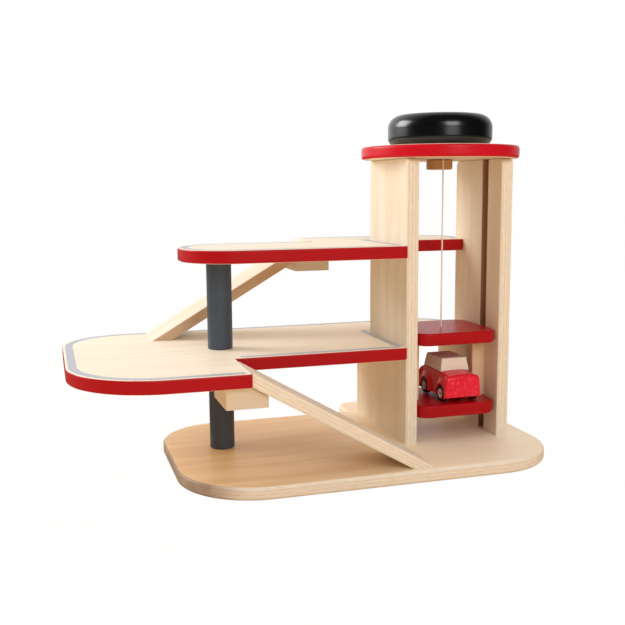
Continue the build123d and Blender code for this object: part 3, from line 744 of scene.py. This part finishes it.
def smooth(piece, degrees=35):
    """Shade a piece smoothly, but keep its edges sharper than an angle."""
    piece.data.shade_smooth()
    piece.data.set_sharp_from_angle(angle=math.radians(degrees))


# %% Tyres and hubs
def arc(centre_x, centre_y, radius, start, end, steps=5):
    """Points on an arc, with angles in degrees."""
    angles = [math.radians(start + (end - start) * i / steps) for i in range(steps + 1)]
    return [(centre_x + radius * math.cos(a), centre_y + radius * math.sin(a)) for a in angles]


TYRE_SHOULDER = 1.5 * MM
TYRE_LIP = 2.2 * MM            # from the tread to the groove in a wall
INNER_LIP = 0.3 * MM           # from that groove to the hub
TYRE_GROOVE = (0.35 * MM, 0.2 * MM)    # its depth, and how far its sides slope
BORE_GAP = 0.02 * MM
HUB_BEVEL = (0.3 * MM, 0.35 * MM)      # along the axle, and across it
HUB_RIM = 0.9 * MM
DISH_FOOT = (1.3 * MM, 1.5 * MM)       # below the hub's face, and in from its edge
# The cap in the middle, as (below the hub's face, radius) pairs.
CAP_OUTLINE = ((1.5 * MM, 1.9 * MM), (0.9 * MM, 1.6 * MM), (0.6 * MM, 0.9 * MM), (0.5 * MM, 0))

for end in ("front", "rear"):
    for hand, outward in (("left", -1), ("right", 1)):
        tyre_node, hub_node = f"{end}_{hand}_tyre", f"{end}_{hand}_hub"
        low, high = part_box(tyre_node)
        middle = middle_of(tyre_node)
        half = (high.x - low.x) / 2
        radius = (high.z - low.z) / 2
        hub_radius = (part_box(hub_node)[1].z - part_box(hub_node)[0].z) / 2
        bore, groove_floor, slope = hub_radius + BORE_GAP, half - TYRE_GROOVE[0], TYRE_GROOVE[1]
        outer_lip, inner_lip = radius - TYRE_LIP, hub_radius + INNER_LIP
        bend_x, bend_y = half - TYRE_SHOULDER, radius - TYRE_SHOULDER
        tyre_outline = [(-half, bore), *arc(-bend_x, bend_y, TYRE_SHOULDER, 180, 90),
                        *arc(bend_x, bend_y, TYRE_SHOULDER, 90, 0), (half, outer_lip),
                        (groove_floor, outer_lip - slope), (groove_floor, inner_lip + slope),
                        (half, inner_lip), (half, bore)]
        hub_outline = [(-half, 0), (-half, hub_radius), (half - HUB_BEVEL[0], hub_radius),
                       (half, hub_radius - HUB_BEVEL[1]), (half, hub_radius - HUB_RIM),
                       (half - DISH_FOOT[0], hub_radius - DISH_FOOT[1])]
        hub_outline += [(half - below, cap_radius) for below, cap_radius in CAP_OUTLINE]
        axis = (outward, 0, 0)
        for node, outline, finish in ((tyre_node, tyre_outline, rubber),
                                      (hub_node, hub_outline, hub_plastic)):
            piece = add_mesh(f"{node}_turned", f"{end}_wheels", finish,
                             lambda work, outline=outline: spin(work, outline, middle, axis))
            smooth(piece)
            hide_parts(node)
print("wheels turned, radius", round(radius / MM, 2), "mm")

# %% [markdown]
# ## Car body
# The car is carved from one block: round wings over the wheels, flanks hollowed
# between them, and a crowned hood. It is built as a stack of cross sections along its
# length. Each section is a rounded outline, drawn in wherever it lies far from both axles, and
# the first and last few shrink to round the ends. The wheel arches are then bored out with
# cylinders, as the real ones are.

# %% A carved body from cross sections
def blend_step(low, high, value):
    """0 below low, 1 above high, and smooth between them."""
    t = min(1.0, max(0.0, (value - low) / (high - low)))
    return t * t * (3 - 2 * t)


car_low, car_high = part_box("car_body")
car_middle = middle_of("car_body")
car_half_width = (car_high.x - car_low.x) / 2
axles = [middle_of("front_axle").yz, middle_of("rear_axle").yz]
WING_RADIUS = 12.5 * MM
WING_BLEND = 4.0 * MM
FLANK_HOLLOW = 2.6 * MM
HOLLOW_START = 9.0 * MM        # from an end, where the flank is hollowed to its full depth
LEAN = 1.2 * MM                # how far the flanks lean in, from sill to top
END_ROUNDING = 3.5 * MM
END_BAND = (6.0 * MM, 8.0 * MM)        # across and up from the middle, where it fades out
SILL_ROUNDING = 0.7            # share of an end's rounding that its lower edge gets
SHOULDER = 4.0 * MM
HOOD_LENGTH = 19.0 * MM
HOOD_DROP = 1.6 * MM           # how much lower the nose is than the body at the cabin
TAIL_LENGTH = 9.0 * MM
TAIL_DROP = 3.5 * MM
CROWN = 1.2 * MM
WELL_RADIUS = 9.2 * MM
WELL_DEPTH = 7.0 * MM
WELL_BEYOND = 2.0 * MM         # how far the cutter sticks out of a flank
STATIONS = 60
SIDE_STEPS = 12
SHOULDER_STEPS = 8
TOP_STEPS = 7


def section_outline(y):
    """Half of the body's outline at a place along it, from sill to the middle of its top."""
    from_front, from_back = y - car_low.y, car_high.y - y
    top = car_high.z - HOOD_DROP * (1 - blend_step(0, HOOD_LENGTH, from_front))
    top -= TAIL_DROP * (1 - blend_step(0, TAIL_LENGTH, from_back))
    shoulder_z = top - CROWN - SHOULDER
    points = [(car_half_width, car_low.z + (shoulder_z - car_low.z) * i / SIDE_STEPS)
              for i in range(SIDE_STEPS)]
    for i in range(SHOULDER_STEPS + 1):
        angle = math.radians(90 * i / SHOULDER_STEPS)
        points.append((car_half_width - SHOULDER + SHOULDER * math.cos(angle),
                       shoulder_z + SHOULDER * math.sin(angle)))
    flat = car_half_width - SHOULDER
    for i in range(1, TOP_STEPS + 1):
        share = i / TOP_STEPS
        points.append((flat * (1 - share), top - CROWN * (1 - share) ** 2))
    shaped = []
    for x, z in points:
        away = min(math.hypot(y - axle_y, z - axle_z) for axle_y, axle_z in axles)
        hollow = FLANK_HOLLOW * blend_step(WING_RADIUS - WING_BLEND, WING_RADIUS + WING_BLEND,
                                           away)
        ends = blend_step(0, HOLLOW_START, min(from_front, from_back))
        lean = LEAN * (z - car_low.z) / (car_high.z - car_low.z)
        shaped.append((x - (hollow * ends + lean) * x / car_half_width, z))
    return shaped


def carve_body(work):
    """The body's skin, with its two ends rounded and closed."""
    rings = []
    for i in range(STATIONS + 1):
        y = car_low.y + (car_high.y - car_low.y) * (1 - math.cos(math.pi * i / STATIONS)) / 2
        from_end = min(y - car_low.y, car_high.y - y)
        reach = max(0.0, END_ROUNDING - from_end)
        shrink = END_ROUNDING - math.sqrt(END_ROUNDING ** 2 - reach ** 2)
        half = section_outline(y)
        ring = []
        for side in (1, -1):
            for x, z in (half if side > 0 else half[-2::-1]):
                x -= shrink * min(1, x / END_BAND[0])
                z -= shrink * max(-SILL_ROUNDING, min(1, (z - car_middle.z) / END_BAND[1]))
                ring.append(work.verts.new((car_middle.x + side * x, y, z)))
        rings.append(ring)
    close_skin(work, rings)


def cut_away(piece, build):
    """Cut the solid that a function builds out of a piece."""
    cutter = add_mesh("cutter", None, None, build)
    cut = piece.modifiers.new("cut", "BOOLEAN")
    cut.operation = "DIFFERENCE"
    cut.solver = "EXACT"
    cut.object = cutter
    graph = bpy.context.evaluated_depsgraph_get()
    piece.data = bpy.data.meshes.new_from_object(piece.evaluated_get(graph))
    piece.modifiers.remove(cut)
    bpy.data.objects.remove(cutter)


def wheel_wells(work):
    """Four short cylinders that reach in from the flanks, one for each wheel."""
    for axle_y, axle_z in axles:
        for side in (-1, 1):
            centre = Vector((car_middle.x + side * car_half_width, axle_y, axle_z))
            spin(work, [(-WELL_DEPTH, 0), (-WELL_DEPTH, WELL_RADIUS), (WELL_BEYOND, WELL_RADIUS),
                        (WELL_BEYOND, 0)], centre, (side, 0, 0), steps=72)


# %% Red lacquer with the ripples of a hand-rubbed finish, and painted pink highlights on them
RIPPLES = (420, 420)           # spots in a metre, alike all ways
CLOUDS = (60, 60)
# Painted highlights: pink flakes mixed into the red where the ripples are high.
CAR_RED, CAR_SHADE, GLINT_PINK = srgb(250, 34, 66), srgb(218, 14, 42), srgb(255, 96, 124)
GLINT_MASK, GLINT_SHARE = (0.52, 0.72), 0.45
LACQUER_ROUGHNESS, RIPPLE_IN_SHINE = 0.34, 0.15


def car_lacquer():
    """Thick glossy red whose slow ripples break a reflection into flakes, with painted pink
    highlights on their crests.
    """
    finish = Finish("car_lacquer", Specular_IOR_Level=0.3, Coat_Weight=0.3, Coat_Roughness=0.15)
    place = finish.place()
    ripple = finish.grain(place, RIPPLES, detail=2.0)
    tone = finish.grain(place, CLOUDS, detail=2.0)
    colour = finish.mix(tone, CAR_RED, CAR_SHADE)
    # Painted highlights on the ripples' crests.
    colour = finish.mix(ripple.step(*GLINT_MASK) * GLINT_SHARE, colour, GLINT_PINK)
    return finish.set(Base_Color=colour,
                      Roughness=LACQUER_ROUGHNESS + (ripple - 0.5) * RIPPLE_IN_SHINE,
                      Normal=finish.bump(ripple, 0.35 * MM))


car_shell = add_mesh("car_shell", "car", car_lacquer(), carve_body)
cut_away(car_shell, wheel_wells)
smooth(car_shell, 40)
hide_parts("car_body")
print("car body", len(car_shell.data.vertices), "points")

# %% [markdown]
# ## Cord
# The lift hangs on a twisted cord about 1.6 mm thick. It is knotted under the lift's
# ceiling, runs straight up through a hole in the roof, turns over the hole's edge and meets the
# drum under the wheel. Its route is a smooth curve through a few points. Three strands are wound
# round that curve, which is how such a cord is made and what gives it its slanting
# shadows.

# %% The cord's route
CORD_DIAMETER = 1.6 * MM
STRANDS = 3
STRAND_TURN = 6.5 * MM         # length of one full twist
STRAND_STEP = 0.5 * MM
STRAND_SWELL = 1.12            # the strands are pressed into each other a little
CORD_REACH = 0.83              # share of the level run that is free of the drum's turns
BEND_REACH = 6                 # in diameters, from the bend's corner to where it may begin
CURVE_STEPS = 24
FIBRES = (900, 3000)           # spots in a metre, along the cord and across it
knob_axis = middle_of("wheel_knob")
cord_low, cord_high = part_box("lift_cord")
hole = Vector((139.2, -18.625, 0)) * MM        # in the roof


def cord_route():
    """The cord's points: the drum, the bend over the roof's hole, and the knot below."""
    to_axis = Vector((knob_axis.x - hole.x, knob_axis.y - hole.y))
    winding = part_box("cord_winding")
    path_radius = (winding[1].x - winding[0].x) / 2 - CORD_DIAMETER / 2
    heading = math.atan2(to_axis.y, to_axis.x) - math.asin(path_radius / to_axis.length)
    run = math.sqrt(to_axis.length ** 2 - path_radius ** 2)
    ahead = Vector((math.cos(heading), math.sin(heading), 0))
    bend = Vector((hole.x, hole.y, cord_high.z - CORD_DIAMETER / 2))
    return [bend + ahead * run * CORD_REACH, bend,
            bend - Vector((0, 0, BEND_REACH * CORD_DIAMETER)), Vector((hole.x, hole.y, cord_low.z))]


def smooth_line(name, points):
    """A NURBS curve near some points, and the places along it."""
    curve = bpy.data.curves.new(name, "CURVE")
    curve.dimensions = "3D"
    curve.resolution_u = CURVE_STEPS
    spline = curve.splines.new("NURBS")
    spline.points.add(len(points) - 1)
    for target, point in zip(spline.points, points):
        target.co = (*point, 1)
    spline.order_u = 3
    spline.use_endpoint_u = True
    holder = add_object(name, curve)
    mesh = bpy.data.meshes.new_from_object(holder)
    line = [vertex.co.copy() for vertex in mesh.vertices]
    bpy.data.objects.remove(holder)
    return line


def even_steps(line, step):
    """Points a steady distance apart along a line."""
    spaced = [line[0].copy()]
    left = step
    for start, end in zip(line, line[1:]):
        length = (end - start).length
        while length > NEARLY_ZERO and left <= length:
            spaced.append(start.lerp(end, left / length))
            left += step
        left -= length
    return spaced + [line[-1].copy()]


# %% Three strands twisted round the route
def twisted(work, line, diameter, strands, turn, sides=7):
    """Strands wound round a line, each a closed tube."""
    strand_radius = diameter / 2 / (1 + 1 / math.sin(math.pi / strands)) * STRAND_SWELL
    wind_radius = diameter / 2 - strand_radius
    for strand in range(strands):
        travelled = 0.0
        rings = []
        across = (line[1] - line[0]).orthogonal().normalized()
        for i, point in enumerate(line):
            ahead = (line[min(i + 1, len(line) - 1)] - line[max(i - 1, 0)]).normalized()
            across = (across - ahead * across.dot(ahead)).normalized()
            other = ahead.cross(across)
            if i:
                travelled += (point - line[i - 1]).length
            angle = math.tau * (strand / strands + travelled / turn)
            centre = point + (across * math.cos(angle) + other * math.sin(angle)) * wind_radius
            rings.append(circle(work, centre, across, other, strand_radius, sides))
        close_skin(work, rings)


def cotton():
    """Off-white cotton with fine fibres along its strands."""
    finish = Finish("cotton", Roughness=0.85, Sheen_Weight=0.3)
    x, y, z = finish.place()
    along, across = FIBRES
    fibre = finish.noise(finish.vector(x * across, y * across, z * along), detail=2.0)
    return finish.set(Base_Color=finish.mix(fibre, srgb(254, 253, 250), srgb(238, 233, 226)),
                      Normal=finish.bump(fibre, 0.08 * MM))


cotton_white = cotton()
line = even_steps(smooth_line("cord_line", cord_route()), STRAND_STEP)
lift_rope = add_mesh("lift_rope", None, cotton_white,
                     lambda work: twisted(work, line, CORD_DIAMETER, STRANDS, STRAND_TURN))
smooth(lift_rope, 60)
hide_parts("lift_cord")
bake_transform(lift_rope)
length = sum((b - a).length for a, b in zip(line, line[1:]))
dress(cotton_white, "cord_winding", "cord_knot")
print("cord", round(length / MM, 1), "mm long")

# %% [markdown]
# ## Light
# The shadows tell how the photograph was lit. The roof's edge throws a shallow curved shadow
# on the left upright, and the back of the right upright is lit past the left one. So the
# main soft box stands at the left, a little behind the toy, and shines down at a low slant.
# A weaker one in front lights the boards' edges, and the black wheel mirrors both. The rest
# is a room that is pure white to the camera only. As a light it is warm at the walls, dark on
# the camera's side and bright overhead, and the paint mirrors that dark side and a dark floor.

# %% Floor, world and lamps
WHITE = (1.0, 1.0, 1.0, 1.0)
WALL_LIGHT = (0.16, 1.05)      # on the camera's side, and of the backdrop
CEILING_LIGHT = 1.0
WARM_WALLS = (1.0, 0.80, 0.58, 1.0)
WARM_SHARE = (1.0, 0.3)        # of that colour, at the walls' foot and at the ceiling
ROOM_MIRRORED = (0.02, 1.1)    # as glossy paint mirrors it: the dark camera side, the backdrop
FLOOR_COLOUR = srgb(250, 222, 186)
FLOOR_GLOW = 0.985             # share of pure white that the camera sees
FLOOR_MIRRORED, MIRRORED_SHARE = 0.02, 0.85    # its brightness in reflections
FLOOR_REACH = 6.0              # metres
LAMP_TARGET = (0.05, 0, 0.15)


def soft_box(name, place, target, size, watts):
    """A square area lamp that looks at a point."""
    lamp = bpy.data.lights.new(name, "AREA")
    lamp.shape = "SQUARE"
    lamp.size = size
    lamp.energy = watts
    holder = add_object(name, lamp)
    holder.location = place
    holder.rotation_euler = (Vector(target) - Vector(place)).to_track_quat("-Z", "Y").to_euler()


def add_floor():
    """A wide floor: almost pure white to the camera, warm as a light, dark in reflections."""
    finish = Finish("floor_white", Roughness=0.9, Base_Color=FLOOR_COLOUR)
    paint = Wire(finish, finish.shader.outputs[0])
    seen = finish.node("ShaderNodeLightPath")
    mirrored = Wire(finish, seen.socket.node.outputs["Is Glossy Ray"])
    dim, glow = [finish.node("ShaderNodeEmission", inputs={"Color": WHITE, "Strength": strength})
                 for strength in (FLOOR_MIRRORED, 1.0)]
    paint = finish.node("ShaderNodeMixShader", inputs=[mirrored * MIRRORED_SHARE, paint, dim])
    both = finish.node("ShaderNodeMixShader", inputs=[seen * FLOOR_GLOW, paint, glow])
    finish.feed(finish.tree.nodes["Material Output"].inputs["Surface"], both)
    floor = add_mesh("floor", None, finish.material, lambda work: bmesh.ops.create_grid(
        work, x_segments=1, y_segments=1, size=FLOOR_REACH))


def add_world():
    """A white room: pure white to the camera, dimmer and warmer as a source of light."""
    world = bpy.data.worlds.new("white_room")
    world.use_nodes = True
    bpy.context.scene.world = world
    tree = world.node_tree
    back = tree.nodes["Background"]
    path = tree.nodes.new("ShaderNodeLightPath")
    where = tree.nodes.new("ShaderNodeTexCoord")
    split = tree.nodes.new("ShaderNodeSeparateXYZ")
    tree.links.new(where.outputs["Generated"], split.inputs[0])

    def between(value, low, high):
        """A level that runs from low to high as a value runs from 0 to 1."""
        level = tree.nodes.new("ShaderNodeMapRange")
        tree.links.new(value, level.inputs["Value"])
        for name, end in (("To Min", low), ("To Max", high)):
            if isinstance(end, float):
                level.inputs[name].default_value = end
            else:
                tree.links.new(end, level.inputs[name])
        return level.outputs[0]

    room = between(split.outputs["Z"], between(split.outputs["Y"], *WALL_LIGHT), CEILING_LIGHT)
    mirror = between(split.outputs["Y"], *ROOM_MIRRORED)
    mirrored = between(path.outputs["Is Glossy Ray"], room, mirror)
    tree.links.new(between(path.outputs["Is Camera Ray"], mirrored, 1.0),
                   back.inputs["Strength"])
    tint = tree.nodes.new("ShaderNodeMix")
    tint.data_type = "RGBA"
    tint.inputs[MIX_A].default_value = WHITE
    tint.inputs[MIX_B].default_value = WARM_WALLS
    warmth = between(split.outputs["Z"], *WARM_SHARE)
    tree.links.new(between(path.outputs["Is Diffuse Ray"], 0.0, warmth), tint.inputs["Factor"])
    tree.links.new(tint.outputs[MIXED], back.inputs["Color"])


add_floor()
add_world()
soft_box("key", (-1.25, 0.75, 0.95), LAMP_TARGET, size=0.9, watts=19.5)
soft_box("front_fill", (0.2, -1.6, 0.85), LAMP_TARGET, size=0.8, watts=9)
bpy.context.scene.view_settings.view_transform = "Standard"
print("lamps", [lamp.name for lamp in bpy.data.lights])
